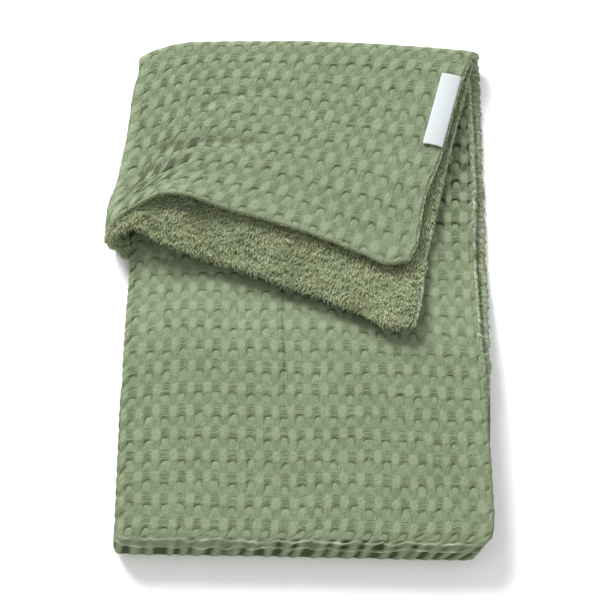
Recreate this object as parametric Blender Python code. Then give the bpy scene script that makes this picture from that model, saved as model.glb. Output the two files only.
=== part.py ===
"""Two-layer baby blanket, folded: waffle weave cotton outside, short-pile teddy inside.

Metres, +Z up. The blanket is folded once lengthwise, with that fold on the left (-X). Its top end (+Y) is
then folded forward as a slanted flap, and its lower end (-Y) is folded under. All layers follow one centre
surface, which runs halfway between the two plies of the lengthwise fold: the outer ply lies outside it on
the top fold, the inner ply inside it, and both join round the lengthwise fold.
"""
import bpy
import numpy as np

# Panels, measured outward from the centre surface.
WAFFLE = 0.0027          # thickness of the waffle weave panel
TEDDY = 0.0038           # thickness of the teddy panel with its pile
GAP = 0.0003             # clearance between pieces that touch
SEAM = 0.0050            # centre surface to the seam between the two panels
OUTER = SEAM + WAFFLE    # centre surface to the waffle face
HEM_SHARE = 0.4          # part of a panel's thickness left at its sewn edge

# Crosswise folds.
FOLD_RADIUS = 0.0089     # centre surface's radius at the top and bottom folds
TOP_FOLD = 0.2855        # Y of the top fold's axis at its highest point
TOP_FOLD_PEAK = -0.040   # X of that point
TOP_FOLD_BOW = 0.28      # how fast the axis falls away from it, per metre
CORNER_START = -0.110    # X where the top left corner starts to round off
CORNER_WIDTH = 0.052
CORNER_DROP = 0.0145
SECTION_TURN = 0.6       # how far a fold's sections turn with its axis: 0 along Y, 1 square to the axis
BOTTOM_FOLD = -0.2655    # Y of the bottom fold's axis at X = 0
BOTTOM_SLANT = -0.02
RAMP_TOP = 0.040        # Y where the front layer starts to climb the tucked end
RAMP_END = -0.083        # Y where it lies on the tucked end

# The flap's left side stands up in an arch, hangs over the lengthwise fold and curls in beneath itself.
CURL_RADIUS = 0.0150
CURL = (
    # y, x where the curl starts, degrees turned at the lengthwise fold, height of the arch
    (0.035, -0.1720, 136.0, 0.0095),
    (0.060, -0.1730, 128.0, 0.0090),
    (0.079, -0.1745, 102.0, 0.0078),
    (0.092, -0.1740, 76.0, 0.0060),
    (0.116, -0.1695, 48.0, 0.0030),
    (0.150, -0.1675, 32.0, 0.0008),
    (0.185, -0.1655, 20.0, 0.0000),
    (0.230, -0.1648, 9.0, 0.0000),
    (0.262, -0.1618, 0.0, 0.0000),
    (0.300, -0.1618, 0.0, 0.0000),
)
ARCH_WIDTH = 0.090       # how far the arch reaches to the right of where the curl starts

# The flap's two plies. X is measured along the cloth where it curls.
FLAP_HEM_LEFT = {"outer": 0.061, "inner": 0.051}      # Y of each hem at the lengthwise fold
FLAP_HEM_TURN = 0.013                                 # how far it dips in front of them round the fold
FLAP_HEM = {
    # x, y from left to right; the last is the middle of the rounded corner
    "outer": ((-0.183, 0.074), (-0.164, 0.088), (-0.138, 0.0985), (-0.095, 0.0905), (0.000, 0.061),
              (0.060, 0.0340), (0.090, 0.0205), (0.1075, 0.0245)),
    "inner": ((-0.186, 0.058), (-0.171, 0.062), (-0.137, 0.0480), (-0.070, 0.024), (0.000, -0.0060),
              (0.060, -0.0360), (0.090, -0.0535), (0.1090, -0.0520)),
}
FLAP_SIDE = {
    # x, y from the rounded corner up to the top fold
    "outer": ((0.1160, 0.046), (0.1250, 0.098), (0.1440, 0.152), (0.1700, 0.249)),
    "inner": ((0.1185, -0.018), (0.1290, 0.032), (0.1380, 0.070), (0.1545, 0.146), (0.1700, 0.214)),
}
LIFT = 0.007                      # the outer ply's height over the pile behind its hem's arch
LIFT_CENTRE = (-0.115, 0.085)
LIFT_SIZE = (0.050, 0.045)

# Sides of the stack from the top fold on.
SIDES = {
    # share of the section's length, lengthwise fold x, outer ply's edge x, inner ply's edge x
    "top": ((0.0, -0.1618, 0.1795, 0.1810), (0.5, -0.1595, 0.1860, 0.1790), (1.0, -0.1600, 0.1890, 0.1775)),
    "body": ((0.00, -0.1600, 0.1890, 0.1775), (0.25, -0.1650, 0.1870, 0.1790),
             (0.45, -0.1650, 0.1865, 0.1755), (0.60, -0.1655, 0.1845, 0.1760),
             (0.72, -0.1650, 0.1835, 0.1790), (1.00, -0.1630, 0.1740, 0.1808)),
    "bottom": ((0.00, -0.1630, 0.1740, 0.1808), (0.20, -0.1640, 0.1710, 0.1765),
               (0.45, -0.1660, 0.1650, 0.1645), (0.75, -0.1675, 0.1605, 0.1580),
               (1.00, -0.1680, 0.1590, 0.1560)),
    "under": ((0.0, -0.1680, 0.1590, 0.1560), (1.0, -0.1680, 0.1680, 0.1640)),
}
TUCKED_HEM = {"outer": -0.085, "inner": -0.135}       # Y of the tucked end's two hems

# Grid lines: shares of each section's length, and shares of each ply's width from the lengthwise fold.
ROWS = {
    "flap": (0.0, 0.025, 0.06, 0.10, 0.145, 0.19, 0.24, 0.30, 0.37, 0.46, 0.58, 0.72, 0.85, 0.95),
    "top": tuple(step / 8 for step in range(8)),
    "body": (0.0, 0.04, 0.12, 0.28, 0.42, 0.48, 0.54, 0.60, 0.66, 0.72, 0.86),
    "bottom": tuple(step / 7 for step in range(7)),
    "under": (0.0, 0.3, 0.65, 0.95, 1.0),
}
ACROSS = (0.0, 0.022, 0.044, 0.066, 0.09, 0.13, 0.19, 0.28, 0.42, 0.58, 0.74, 0.88, 0.965, 1.0)
TURN_STEPS = 8                    # faces round the lengthwise fold

# Woven label, sewn flat along the flap's right edge.
LABEL_LENGTH = 0.090
LABEL_WIDTH = 0.0205
LABEL_THICK = 0.0010
LABEL_CORNER = (0.1450, 0.1600)   # its lower right corner
LABEL_TILT = 14.5                 # degrees from +Y towards +X
LABEL_STEPS = (10, 3)

PLAN_MIDDLE = (-0.0040, 0.0086)   # middle of the folded blanket's box in the plan used above
STEP = 1e-5                       # small step for the slopes of the centre surface


def smooth_step(share):
    share = np.clip(share, 0.0, 1.0)
    return share * share * (3.0 - 2.0 * share)


def knot_slopes(place, value):
    """Slopes at the knots that keep each stretch between two knots free of overshoot."""
    secant = np.diff(value, axis=0) / np.diff(place)[:, None]
    before, after = secant[:-1], secant[1:]
    same_way = before * after > 0
    total = np.where(same_way, before + after, 1.0)
    inner = np.where(same_way, 2.0 * before * after / total, 0.0)
    return np.concatenate([secant[:1], inner, secant[-1:]])


def through(knots, at):
    """Smooth curve through the rows of knots, whose first column is the place along it."""
    knots = np.asarray(knots, dtype=float)
    place, value = knots[:, 0], knots[:, 1:]
    slope = knot_slopes(place, value)
    at = np.clip(at, place[0], place[-1])
    left = np.clip(np.searchsorted(place, at, side="right") - 1, 0, len(place) - 2)
    width = (place[left + 1] - place[left])[..., None]
    share = (at - place[left])[..., None] / width
    cube, square = share ** 3, share ** 2
    return ((2 * cube - 3 * square + 1) * value[left] + (3 * square - 2 * cube) * value[left + 1]
            + (cube - 2 * square + share) * slope[left] * width + (cube - square) * slope[left + 1] * width)


def along(points, share):
    """Point at a share of the length of the smooth curve through the points."""
    points = np.asarray(points, dtype=float)
    reach = np.concatenate([[0.0], np.cumsum(np.linalg.norm(np.diff(points, axis=0), axis=1))])
    return through(np.column_stack([reach / reach[-1], points]), share)


def top_fold_y(x):
    corner = np.clip((CORNER_START - x) / CORNER_WIDTH, 0.0, 1.2)
    return TOP_FOLD - TOP_FOLD_BOW * (x - TOP_FOLD_PEAK) ** 2 - CORNER_DROP * corner ** 2


def bottom_fold_y(x):
    return BOTTOM_FOLD + BOTTOM_SLANT * x


def fold_centre(axis_y, back, x, angle):
    """Centre surface round a crosswise fold; back is 1 or -1 along Y. Its sections turn with the axis."""
    slope = SECTION_TURN * (axis_y(x + STEP) - axis_y(x - STEP)) / (2 * STEP)
    reach = back * FOLD_RADIUS * np.sin(angle) / np.sqrt(1.0 + slope ** 2)
    return np.stack([x - reach * slope, axis_y(x) + reach, OUTER + FOLD_RADIUS * (1.0 + np.cos(angle))], axis=-1)


def body_height(y):
    return OUTER + 2 * FOLD_RADIUS * smooth_step((RAMP_TOP - y) / (RAMP_TOP - RAMP_END))


def flap_fold_x(y):
    """The lengthwise fold on the flap, with X measured along the cloth."""
    curl = through(CURL, y)
    return curl[..., 0] - CURL_RADIUS * np.radians(curl[..., 1])


def flap_centre(x, y):
    """The flap's centre surface; X is measured along the cloth where it curls."""
    start, _, arch = np.moveaxis(through(CURL, y), -1, 0)
    turned = np.clip((start - x) / CURL_RADIUS, 0.0, None)
    arch = arch * (1.0 - smooth_step((x - start) / ARCH_WIDTH))
    height = body_height(y) + 2 * FOLD_RADIUS + arch - CURL_RADIUS * (1.0 - np.cos(turned))
    return np.stack([np.maximum(x, start) - CURL_RADIUS * np.sin(turned), y, height], axis=-1)


def centre(section, x, way):
    """Centre surface. The way is Y on the flap and the tucked end, -Y on the body, an angle on a fold."""
    x, way = np.broadcast_arrays(x, way)
    if section == "flap":
        return flap_centre(x, way)
    if section == "top":
        return fold_centre(top_fold_y, 1.0, x, way)
    if section == "body":
        return np.stack([x, -way, body_height(-way)], axis=-1)
    if section == "bottom":
        return fold_centre(bottom_fold_y, -1.0, x, way)
    return np.stack([x, way, np.full_like(x, OUTER)], axis=-1)


def unit(vectors):
    return vectors / np.linalg.norm(vectors, axis=-1, keepdims=True)


def normal(section, x, way):
    """Unit normal of the centre surface, towards the outer ply."""
    rightward = centre(section, x + STEP, way) - centre(section, x - STEP, way)
    forward = centre(section, x, way + STEP) - centre(section, x, way - STEP)
    return unit(np.cross(rightward, forward))


def side_x(section, share):
    """X of the lengthwise fold, the outer ply's edge and the inner ply's edge."""
    return np.moveaxis(through(SIDES[section], share), -1, 0)


def way_at(section, x, share, hem_y):
    """Way along a section below the flap; only the tucked end has a hem."""
    if section in ("top", "bottom"):
        return np.pi * share + 0.0 * x
    if section == "body":
        return -(top_fold_y(x) + (bottom_fold_y(x) - top_fold_y(x)) * share)
    return bottom_fold_y(x) + (hem_y - bottom_fold_y(x)) * share


def flap_plan(ply, across, share):
    """X and Y on one ply of the flap, filled in between its hem, its sides and the top fold."""
    left_x, outer_x, inner_x = side_x("top", np.float64(0.0))
    right_x = outer_x if ply == "outer" else inner_x
    hem_left = (flap_fold_x(np.float64(FLAP_HEM_LEFT[ply])), FLAP_HEM_LEFT[ply])
    hem = np.array((hem_left,) + FLAP_HEM[ply])
    side = np.array(FLAP_HEM[ply][-1:] + FLAP_SIDE[ply] + ((right_x, top_fold_y(right_x)),))
    fold_x = left_x + (right_x - left_x) * across
    fold = np.stack([fold_x, top_fold_y(fold_x)], axis=-1)
    left_y = hem[0, 1] + (top_fold_y(left_x) - hem[0, 1]) * share
    left = np.stack([flap_fold_x(left_y), left_y], axis=-1)
    fold_left = np.array([left_x, top_fold_y(left_x)])
    a, s = across[..., None], share[..., None]
    corners = (1 - s) * ((1 - a) * hem[0] + a * hem[-1]) + s * ((1 - a) * fold_left + a * side[-1])
    return np.moveaxis((1 - s) * along(hem, across) + s * fold + (1 - a) * left + a * along(side, share)
                       - corners, -1, 0)


def ply_place(ply, section, across, share):
    """X and way on one ply."""
    if section == "flap":
        return flap_plan(ply, across, share)
    left, outer, inner = side_x(section, share)
    x = left + ((outer if ply == "outer" else inner) - left) * across
    return x, way_at(section, x, share, TUCKED_HEM[ply])


def turn_place(section, turn, share):
    """X and way on the lengthwise fold, at a share of the turn from the outer to the inner ply."""
    if section == "flap":
        hem_y = FLAP_HEM_LEFT["outer"] + (FLAP_HEM_LEFT["inner"] - FLAP_HEM_LEFT["outer"]) * turn
        hem_y = hem_y - FLAP_HEM_TURN * np.sin(np.pi * turn)
        y = hem_y + (top_fold_y(side_x("top", np.float64(0.0))[0]) - hem_y) * share
        return flap_fold_x(y), y
    left = side_x(section, share)[0]
    return left, way_at(section, left, share, TUCKED_HEM["outer"]
                        + (TUCKED_HEM["inner"] - TUCKED_HEM["outer"]) * turn)


def ply_surface(ply, section, across, share):
    """Centre surface under one ply, and the unit direction out to that ply."""
    x, way = ply_place(ply, section, across, share)
    outward = normal(section, x, way) * (1.0 if ply == "outer" else -1.0)
    return centre(section, x, way), outward


def turn_surface(section, turn, share):
    """The same round the lengthwise fold, where the outward direction swings from ply to ply."""
    x, way = turn_place(section, turn, share)
    base = centre(section, x, way)
    ahead = centre(section, *turn_place(section, turn, share + STEP))
    behind = centre(section, *turn_place(section, turn, share - STEP))
    up = normal(section, x, way)
    sideways = unit(np.cross(up, ahead - behind))
    angle = np.pi * turn[..., None]
    return base, np.cos(angle) * up + np.sin(angle) * sideways


def lift(section, base):
    """How far the flap's outer ply stands off behind the arch of its hem."""
    if section != "flap":
        return np.zeros(base.shape[:-1])
    far = (((base[..., 0] - LIFT_CENTRE[0]) / LIFT_SIZE[0]) ** 2
           + ((base[..., 1] - LIFT_CENTRE[1]) / LIFT_SIZE[1]) ** 2)
    return LIFT * (1.0 - smooth_step(np.sqrt(far)))


def cloth_grid():
    """Rows from the flap's hem to the tucked hem, columns from the outer ply's edge to the inner's."""
    wide = np.array(ACROSS)
    turns = np.arange(1, TURN_STEPS) / TURN_STEPS
    bases, outwards, lifts = [], [], []
    for section, shares in ROWS.items():
        shares = np.array(shares)[:, None]
        outer = ply_surface("outer", section, *np.broadcast_arrays(wide[::-1], shares))
        turn = turn_surface(section, *np.broadcast_arrays(turns, shares))
        inner = ply_surface("inner", section, *np.broadcast_arrays(wide, shares))
        bases.append(np.concatenate([outer[0], turn[0], inner[0]], axis=1))
        outwards.append(np.concatenate([outer[1], turn[1], inner[1]], axis=1))
        risen = np.zeros(bases[-1].shape[:-1])
        risen[:, :len(wide)] = lift(section, outer[0])
        lifts.append(risen)
    return np.concatenate(bases), np.concatenate(outwards), np.concatenate(lifts)


def grid_triangles(rows, columns, first):
    """Two triangles for each cell of a grid of points, all cut along the same diagonal."""
    triangles = []
    for row in range(rows - 1):
        for column in range(columns - 1):
            a = first + row * columns + column
            b, c, d = a + 1, a + columns + 1, a + columns
            triangles += [(a, b, c), (a, c, d)]
    return triangles


def rim_triangles(rows, columns):
    """Close the edge between two grids of points, the second stored after the first."""
    bottom = [column for column in range(columns)]
    right = [row * columns + columns - 1 for row in range(1, rows)]
    top = [(rows - 1) * columns + column for column in range(columns - 2, -1, -1)]
    left = [row * columns for row in range(rows - 2, 0, -1)]
    loop = bottom + right + top + left
    shift = rows * columns
    triangles = []
    for a, b in zip(loop, loop[1:] + loop[:1]):
        triangles += [(a, a + shift, b + shift), (a, b + shift, b)]
    return triangles


def slab(name, inside, outside, material):
    """Closed solid between two grids of points; the outside grid faces outward."""
    rows, columns = inside.shape[:2]
    facing_in = grid_triangles(rows, columns, 0)
    facing_out = [face[::-1] for face in grid_triangles(rows, columns, rows * columns)]
    points = np.concatenate([inside.reshape(-1, 3), outside.reshape(-1, 3)])
    points = points - np.array(PLAN_MIDDLE + (0.0,))
    mesh = bpy.data.meshes.new(name)
    mesh.from_pydata(points.tolist(), [], facing_in + facing_out + rim_triangles(rows, columns))
    mesh.shade_smooth()
    mesh.materials.append(material)
    piece = bpy.data.objects.new(name, mesh)
    bpy.context.collection.objects.link(piece)
    return piece


def material(name, colour, roughness):
    finish = bpy.data.materials.new(name)
    finish.use_nodes = True
    shader = finish.node_tree.nodes["Principled BSDF"]
    shader.inputs["Base Color"].default_value = (*colour, 1.0)
    shader.inputs["Roughness"].default_value = roughness
    shader.inputs["Metallic"].default_value = 0.0
    return finish


def hem_thinning(shape):
    """Share of full thickness at each point of the grid: less on the sewn edges all round."""
    share = np.ones(shape)
    share[0, :] = share[-1, :] = HEM_SHARE
    share[:, 0] = share[:, -1] = HEM_SHARE
    return share


def make_panels():
    base, outward, risen = cloth_grid()
    full = hem_thinning(risen.shape)

    def at(distance):
        return base + outward * (distance + risen)[..., None]

    slab("waffle_panel", at(SEAM + 0.0 * full), at(SEAM + WAFFLE * full),
         material("waffle_cotton", (0.33, 0.39, 0.25), 0.95))
    slab("teddy_panel", at(SEAM - GAP - TEDDY * full), at(SEAM - GAP + 0.0 * full),
         material("teddy_pile", (0.34, 0.36, 0.22), 0.98))


def make_label():
    tilt = np.radians(LABEL_TILT)
    up, left = np.meshgrid(np.linspace(0.0, LABEL_LENGTH, LABEL_STEPS[0]),
                           np.linspace(0.0, LABEL_WIDTH, LABEL_STEPS[1]), indexing="ij")
    x = LABEL_CORNER[0] + up * np.sin(tilt) - left * np.cos(tilt)
    y = LABEL_CORNER[1] + up * np.cos(tilt) + left * np.sin(tilt)
    base, out = centre("flap", x, y), normal("flap", x, y)
    slab("label", base + out * (OUTER + GAP), base + out * (OUTER + GAP + LABEL_THICK),
         material("label_white", (0.80, 0.82, 0.80), 0.80))


def main():
    for thing in list(bpy.data.objects):
        bpy.data.objects.remove(thing, do_unlink=True)
    make_panels()
    make_label()


main()
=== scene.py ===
import math

import bpy
import numpy as np
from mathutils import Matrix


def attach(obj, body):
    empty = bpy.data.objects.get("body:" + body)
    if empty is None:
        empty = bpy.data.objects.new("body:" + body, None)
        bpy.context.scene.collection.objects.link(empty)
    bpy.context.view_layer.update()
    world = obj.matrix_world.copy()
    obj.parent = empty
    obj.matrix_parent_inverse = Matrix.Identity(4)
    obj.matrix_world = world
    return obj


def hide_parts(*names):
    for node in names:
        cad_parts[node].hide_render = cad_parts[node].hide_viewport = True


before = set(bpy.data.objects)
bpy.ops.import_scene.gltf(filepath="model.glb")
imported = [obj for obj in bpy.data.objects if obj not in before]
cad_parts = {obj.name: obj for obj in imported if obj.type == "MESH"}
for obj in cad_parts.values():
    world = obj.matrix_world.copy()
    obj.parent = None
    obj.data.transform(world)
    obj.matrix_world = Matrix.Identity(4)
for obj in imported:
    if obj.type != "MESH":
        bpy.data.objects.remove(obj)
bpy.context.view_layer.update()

# Thicknesses of the panels, the gap under the waffle face, and distances from the centre surface.
WAFFLE = 0.0027
TEDDY = 0.0038
GAP = 0.0003
SEAM = 0.0050  # centre surface to the seam between the two panels
OUTER = SEAM + WAFFLE  # centre surface to the waffle face

# Crosswise folds.
FOLD_RADIUS = 0.0089
TOP_FOLD = 0.2855
TOP_FOLD_PEAK = -0.040
TOP_FOLD_BOW = 0.28
CORNER_START = -0.110
CORNER_WIDTH = 0.052
CORNER_DROP = 0.0145
SECTION_TURN = 0.6
BOTTOM_FOLD = -0.2655
BOTTOM_SLANT = -0.02
RAMP_TOP = 0.040
RAMP_END = -0.083

# The flap's left side stands up in an arch, hangs over the lengthwise fold and curls in beneath itself.
CURL_RADIUS = 0.0150
CURL = (
    # y, x where the curl starts, degrees turned at the lengthwise fold, height of the arch
    (0.035, -0.1720, 168.0, 0.0095),
    (0.060, -0.1730, 165.0, 0.0090),
    (0.079, -0.1740, 142.0, 0.0078),
    (0.092, -0.1736, 102.0, 0.0060),
    (0.116, -0.1695, 52.0, 0.0030),
    (0.150, -0.1675, 32.0, 0.0008),
    (0.185, -0.1655, 20.0, 0.0000),
    (0.230, -0.1648, 9.0, 0.0000),
    (0.262, -0.1618, 0.0, 0.0000),
    (0.300, -0.1618, 0.0, 0.0000),
)
ARCH_WIDTH = 0.090

# The flap's two plies.
FLAP_HEM_LEFT = {"outer": 0.058, "inner": 0.057}
FLAP_HEM_TURN = 0.004
FLAP_HEM = {
    "outer": ((-0.198, 0.0575), (-0.184, 0.068), (-0.164, 0.085), (-0.138, 0.0985), (-0.095, 0.0905),
              (0.000, 0.061), (0.060, 0.0340), (0.090, 0.0205), (0.1075, 0.0245)),
    "inner": ((-0.186, 0.058), (-0.171, 0.061), (-0.137, 0.0450), (-0.070, 0.0205), (0.000, -0.0095),
              (0.060, -0.0395), (0.090, -0.0570), (0.1105, -0.0550)),
}
FLAP_SIDE = {
    "outer": ((0.1160, 0.046), (0.1250, 0.098), (0.1440, 0.152), (0.1700, 0.249)),
    "inner": ((0.1190, -0.018), (0.1250, 0.032), (0.1335, 0.070), (0.1500, 0.146), (0.1665, 0.214)),
}
LIFT = 0.010
LIFT_CENTRE = (-0.115, 0.085)
LIFT_SIZE = (0.050, 0.045)
HEM_RISE = 0.0065  # how far the inner ply is raised at its hem
HEM_RISE_LONG = 0.24  # share of the flap over which that ends
HEM_RISE_START = 0.12  # side over which it starts beside the lengthwise fold
OUTER_RISE = 0.0025  # the same for the outer ply
OUTER_RISE_LONG = 0.16
OUTER_RISE_START = 0.3

# Sides of the stack from the top fold on.
SIDES = {
    # share of the section's length, lengthwise fold x, outer ply's edge x, inner ply's edge x
    "top": ((0.0, -0.1618, 0.1795, 0.1810), (0.5, -0.1595, 0.1860, 0.1790), (1.0, -0.1600, 0.1890, 0.1775)),
    "body": ((0.00, -0.1600, 0.1890, 0.1775), (0.25, -0.1662, 0.1870, 0.1790),
             (0.36, -0.1660, 0.1868, 0.1765), (0.45, -0.1650, 0.1865, 0.1755),
             (0.60, -0.1655, 0.1845, 0.1760), (0.72, -0.1650, 0.1835, 0.1790),
             (0.97, -0.1634, 0.1750, 0.1811), (1.00, -0.1630, 0.1738, 0.1780)),
    "bottom": ((0.00, -0.1630, 0.1738, 0.1780), (0.20, -0.1640, 0.1710, 0.1700),
               (0.45, -0.1660, 0.1650, 0.1635), (0.75, -0.1675, 0.1605, 0.1580),
               (1.00, -0.1680, 0.1590, 0.1560)),
    "under": ((0.0, -0.1680, 0.1590, 0.1560), (1.0, -0.1680, 0.1680, 0.1640)),
}
TUCKED_HEM = {"outer": -0.085, "inner": -0.135}

PLAN_MIDDLE = np.array((-0.0040, 0.0086, 0.0))
STEP = 1e-5
LOWEST = 0.0001  # height above the floor below which no cloth goes
PLY_WIDE = 0.345  # about the width of a ply, in metres
PLY_MM = 345.0  # and in millimetres

# Waffle cells: how many across each ply and round the lengthwise fold, and along each section.
ACROSS_CELLS = {"outer": 19.2, "turn": 1.23, "inner": 21.4}
FLAP_ROWS = 9.12
TOP_ROWS = 2.38  # rows over the outside of the top fold
FOLD_ROWS = 2.0  # and of the bottom fold
BODY_ROWS = 23.3
TUCK_ROWS = 5.6
ROWS_BEFORE_BODY = 12.0  # a whole number, so that the body's rows start at its top fold
RELIEF = 0.0019  # floor of a cell to the top of its ridges
FLOOR = 0.0008  # seam to the floor of a cell

# Label.
LABEL_LENGTH = 0.090
LABEL_WIDTH = 0.0212
LABEL_THICK = 0.0010
LABEL_CORNER = (0.1458, 0.1592)
LABEL_TILT = 14.5


def smooth_step(share):
    share = np.clip(share, 0.0, 1.0)
    return share * share * (3.0 - 2.0 * share)


def ramp_up(value, start, width):
    """0 up to start, then rising softly to 1 over the width."""
    return smooth_step((value - start) / width)


def band(value, start, rise, end, fall):
    """1 between start and end, rising and falling softly."""
    return ramp_up(value, start, rise) * (1.0 - ramp_up(value, end, fall))


def vary(level, amount, value):
    return level + amount * value


def knot_slopes(place, value):
    """Slopes at the knots that keep each stretch between two knots free of overshoot."""
    secant = np.diff(value, axis=0) / np.diff(place)[:, None]
    before, after = secant[:-1], secant[1:]
    same_way = before * after > 0
    total = np.where(same_way, before + after, 1.0)
    inner = np.where(same_way, 2.0 * before * after / total, 0.0)
    return np.concatenate([secant[:1], inner, secant[-1:]])


def through(knots, at):
    """Smooth curve through the rows of knots, whose first column is the place along it."""
    knots = np.asarray(knots, dtype=float)
    place, value = knots[:, 0], knots[:, 1:]
    slope = knot_slopes(place, value)
    at = np.clip(at, place[0], place[-1])
    left = np.clip(np.searchsorted(place, at, side="right") - 1, 0, len(place) - 2)
    width = (place[left + 1] - place[left])[..., None]
    share = (at - place[left])[..., None] / width
    cube, square = share ** 3, share ** 2
    return ((2 * cube - 3 * square + 1) * value[left] + (3 * square - 2 * cube) * value[left + 1]
            + (cube - 2 * square + share) * slope[left] * width + (cube - square) * slope[left + 1] * width)


def along(points, share):
    """Point at a share of the length of the smooth curve through the points."""
    points = np.asarray(points, dtype=float)
    reach = np.concatenate([[0.0], np.cumsum(np.linalg.norm(np.diff(points, axis=0), axis=1))])
    return through(np.column_stack([reach / reach[-1], points]), share)


def top_fold_y(x):
    corner = np.clip((CORNER_START - x) / CORNER_WIDTH, 0.0, 1.2)
    return TOP_FOLD - TOP_FOLD_BOW * (x - TOP_FOLD_PEAK) ** 2 - CORNER_DROP * corner ** 2


def bottom_fold_y(x):
    return BOTTOM_FOLD + BOTTOM_SLANT * x


def fold_centre(axis_y, back, x, angle):
    """Centre surface round a crosswise fold; back is 1 or -1 along Y. Its sections turn with the axis."""
    slope = SECTION_TURN * (axis_y(x + STEP) - axis_y(x - STEP)) / (2 * STEP)
    reach = back * FOLD_RADIUS * np.sin(angle) / np.sqrt(1.0 + slope ** 2)
    height = OUTER + FOLD_RADIUS * (1.0 + np.cos(angle))
    return np.stack([x - reach * slope, axis_y(x) + reach, height], axis=-1)


def body_height(y):
    return OUTER + 2 * FOLD_RADIUS * smooth_step((RAMP_TOP - y) / (RAMP_TOP - RAMP_END))


def flap_fold_x(y):
    """The lengthwise fold on the flap, with X measured along the cloth."""
    curl = through(CURL, y)
    return curl[..., 0] - CURL_RADIUS * np.radians(curl[..., 1])


def flap_centre(x, y):
    """The flap's centre surface; X is measured along the cloth where it curls."""
    start, _, arch = np.moveaxis(through(CURL, y), -1, 0)
    turned = np.clip((start - x) / CURL_RADIUS, 0.0, None)
    arch = arch * (1.0 - smooth_step((x - start) / ARCH_WIDTH))
    height = body_height(y) + 2 * FOLD_RADIUS + arch - CURL_RADIUS * (1.0 - np.cos(turned))
    return np.stack([np.maximum(x, start) - CURL_RADIUS * np.sin(turned), y, height], axis=-1)


def centre(section, x, way):
    """Centre surface. The way is Y on the flap and the tucked end, -Y on the body, an angle on a fold."""
    x, way = np.broadcast_arrays(x, way)
    if section == "flap":
        return flap_centre(x, way)
    if section == "top":
        return fold_centre(top_fold_y, 1.0, x, way)
    if section == "body":
        return np.stack([x, -way, body_height(-way)], axis=-1)
    if section == "bottom":
        return fold_centre(bottom_fold_y, -1.0, x, way)
    return np.stack([x, way, np.full_like(x, OUTER)], axis=-1)


def unit(vectors):
    return vectors / np.linalg.norm(vectors, axis=-1, keepdims=True)


def above_floor(points, lowest=LOWEST):
    """The points, with low ones raised to just above the floor."""
    points[..., 2] = np.maximum(points[..., 2], lowest)
    return points


def steps_along(surface, section, side, share, small):
    """How far a surface's points move over a small step of the side, and of the share."""
    rightward = surface(section, side + small, share)[0] - surface(section, side - small, share)[0]
    ahead = surface(section, side, share + small)[0] - surface(section, side, share - small)[0]
    return rightward, ahead


def normal(section, x, way):
    """Unit normal of the centre surface, towards the outer ply."""
    rightward = centre(section, x + STEP, way) - centre(section, x - STEP, way)
    forward = centre(section, x, way + STEP) - centre(section, x, way - STEP)
    return unit(np.cross(rightward, forward))


def side_x(section, share):
    """X of the lengthwise fold, the outer ply's edge and the inner ply's edge."""
    return np.moveaxis(through(SIDES[section], share), -1, 0)


def way_at(section, x, share, hem_y):
    """Way along a section below the flap; only the tucked end has a hem."""
    if section in ("top", "bottom"):
        return np.pi * share + 0.0 * x
    if section == "body":
        return -(top_fold_y(x) + (bottom_fold_y(x) - top_fold_y(x)) * share)
    return bottom_fold_y(x) + (hem_y - bottom_fold_y(x)) * share


def flap_plan(ply, across, share):
    """X and Y on one ply of the flap, filled in between its hem, its sides and the top fold."""
    left_x, outer_x, inner_x = side_x("top", np.float64(0.0))
    right_x = outer_x if ply == "outer" else inner_x
    hem_left = (flap_fold_x(np.float64(FLAP_HEM_LEFT[ply])), FLAP_HEM_LEFT[ply])
    hem = np.array((hem_left,) + FLAP_HEM[ply])
    side = np.array(FLAP_HEM[ply][-1:] + FLAP_SIDE[ply] + ((right_x, top_fold_y(right_x)),))
    fold_x = left_x + (right_x - left_x) * across
    fold = np.stack([fold_x, top_fold_y(fold_x)], axis=-1)
    left_y = hem[0, 1] + (top_fold_y(left_x) - hem[0, 1]) * share
    left = np.stack([flap_fold_x(left_y), left_y], axis=-1)
    fold_left = np.array([left_x, top_fold_y(left_x)])
    a, s = across[..., None], share[..., None]
    corners = (1 - s) * ((1 - a) * hem[0] + a * hem[-1]) + s * ((1 - a) * fold_left + a * side[-1])
    return np.moveaxis((1 - s) * along(hem, across) + s * fold + (1 - a) * left + a * along(side, share)
                       - corners, -1, 0)


def ply_place(ply, section, across, share):
    """X and way on one ply."""
    if section == "flap":
        return flap_plan(ply, across, share)
    left, outer, inner = side_x(section, share)
    x = left + ((outer if ply == "outer" else inner) - left) * across
    return x, way_at(section, x, share, TUCKED_HEM[ply])


def turn_place(section, turn, share):
    """X and way on the lengthwise fold, at a share of the turn from the outer to the inner ply."""
    if section == "flap":
        hem_y = FLAP_HEM_LEFT["outer"] + (FLAP_HEM_LEFT["inner"] - FLAP_HEM_LEFT["outer"]) * turn
        hem_y = hem_y - FLAP_HEM_TURN * np.sin(np.pi * turn)
        y = hem_y + (top_fold_y(side_x("top", np.float64(0.0))[0]) - hem_y) * share
        return flap_fold_x(y), y
    left = side_x(section, share)[0]
    return left, way_at(section, left, share, TUCKED_HEM["outer"]
                        + (TUCKED_HEM["inner"] - TUCKED_HEM["outer"]) * turn)


def ply_surface(ply, section, across, share):
    """Centre surface under one ply, and the unit direction out to that ply."""
    x, way = ply_place(ply, section, across, share)
    outward = normal(section, x, way) * (1.0 if ply == "outer" else -1.0)
    return centre(section, x, way), outward


def turn_surface(section, turn, share):
    """The same round the lengthwise fold, where the outward direction swings from ply to ply."""
    x, way = turn_place(section, turn, share)
    base = centre(section, x, way)
    ahead = centre(section, *turn_place(section, turn, share + STEP))
    behind = centre(section, *turn_place(section, turn, share - STEP))
    up = normal(section, x, way)
    sideways = unit(np.cross(up, ahead - behind))
    angle = np.pi * turn[..., None]
    return base, np.cos(angle) * up + np.sin(angle) * sideways


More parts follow.
